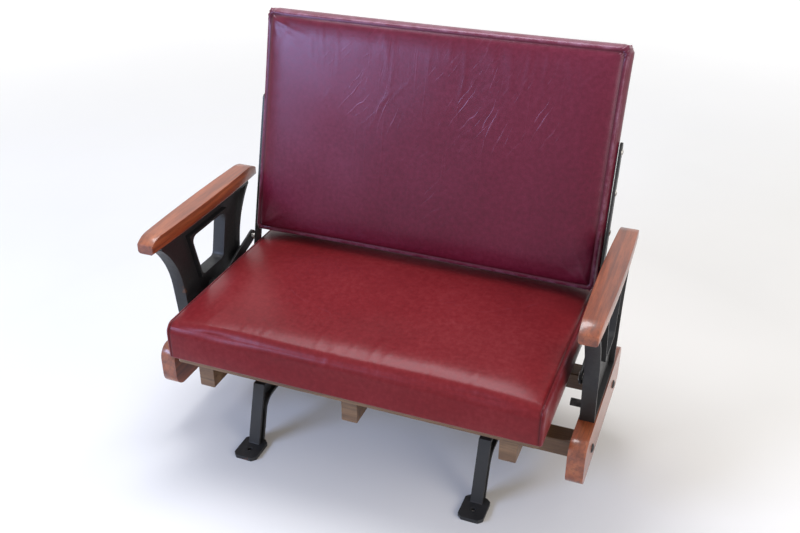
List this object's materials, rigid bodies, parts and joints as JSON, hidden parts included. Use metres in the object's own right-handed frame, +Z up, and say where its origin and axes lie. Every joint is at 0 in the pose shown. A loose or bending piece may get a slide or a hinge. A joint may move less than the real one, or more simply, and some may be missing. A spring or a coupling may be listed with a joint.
{
  "type": "railway coach reversible bench seat",
  "caption": "Two-person railway bench seat whose upholstered back walks over on linked iron arms to face either way, with wooden armrests.",
  "frame": {"origin": "on the floor, in the middle of the four foot bolts", "axes": "+X along the bench towards its aisle end, +Y from its front edge to the back as stored, +Z up"},
  "size_m": [1.1006, 0.6805, 0.9937],
  "materials": {
    "cushion_leather": "satin maroon leathercloth",
    "back_leather": "satin maroon leathercloth",
    "varnished_wood": "reddish varnish, satin gloss",
    "underframe_timber": "plain oiled timber",
    "black_iron": "black paint",
    "black_steel": "black paint",
    "bare_steel": "dull steel",
    "stop_rubber": "matt"
  },
  "bodies": {
    "seat_frame": {"seat_cushion": "cushion_leather", "cushion_board": "underframe_timber", "cushion_bearers": "underframe_timber", "front_rail": "underframe_timber", "rear_rail": "underframe_timber", "aisle_leg": "black_iron", "wall_leg": "black_iron", "aisle_side_sill": "varnished_wood", "wall_side_sill": "varnished_wood", "aisle_standard": "black_iron", "wall_standard": "black_iron", "aisle_armrest": "varnished_wood", "wall_armrest": "varnished_wood", "aisle_arm_pin": "bare_steel", "wall_arm_pin": "bare_steel", "aisle_guide_pin": "bare_steel", "wall_guide_pin": "bare_steel", "aisle_throw_stops": "stop_rubber", "wall_throw_stops": "stop_rubber"},
    "throw_arms": {"aisle_throw_arm": "black_steel", "wall_throw_arm": "black_steel"},
    "back": {"back_pad": "back_leather", "aisle_back_lever": "black_steel", "wall_back_lever": "black_steel", "aisle_lever_pins": "bare_steel", "wall_lever_pins": "bare_steel", "aisle_lever_screws": "bare_steel", "wall_lever_screws": "bare_steel"},
    "guide_links": {"aisle_guide_link": "black_steel", "wall_guide_link": "black_steel"}
  },
  "joints": [
    {"name": "back_throw", "type": "hinge", "parent": "seat_frame", "child": "throw_arms", "pos_m": [0, 0, 0.285], "axis": [1, 0, 0], "range_deg": [0, 151.03]},
    {"name": "back_tilt", "type": "hinge", "parent": "throw_arms", "child": "back", "pos_m": [0, 0.16671, 0.32807], "axis": [1, 0, 0], "range_deg": [-121.1, 0]},
    {"name": "guide_swing", "type": "hinge", "parent": "seat_frame", "child": "guide_links", "pos_m": [0, 0, 0.325], "axis": [1, 0, 0], "range_deg": [0, 143.1]}
  ],
  "couplings": [
    {"joint": "back_tilt", "follows": "back_throw", "ratio": -0.80136},
    {"joint": "guide_swing", "follows": "back_throw", "ratio": 0.94665}
  ]
}
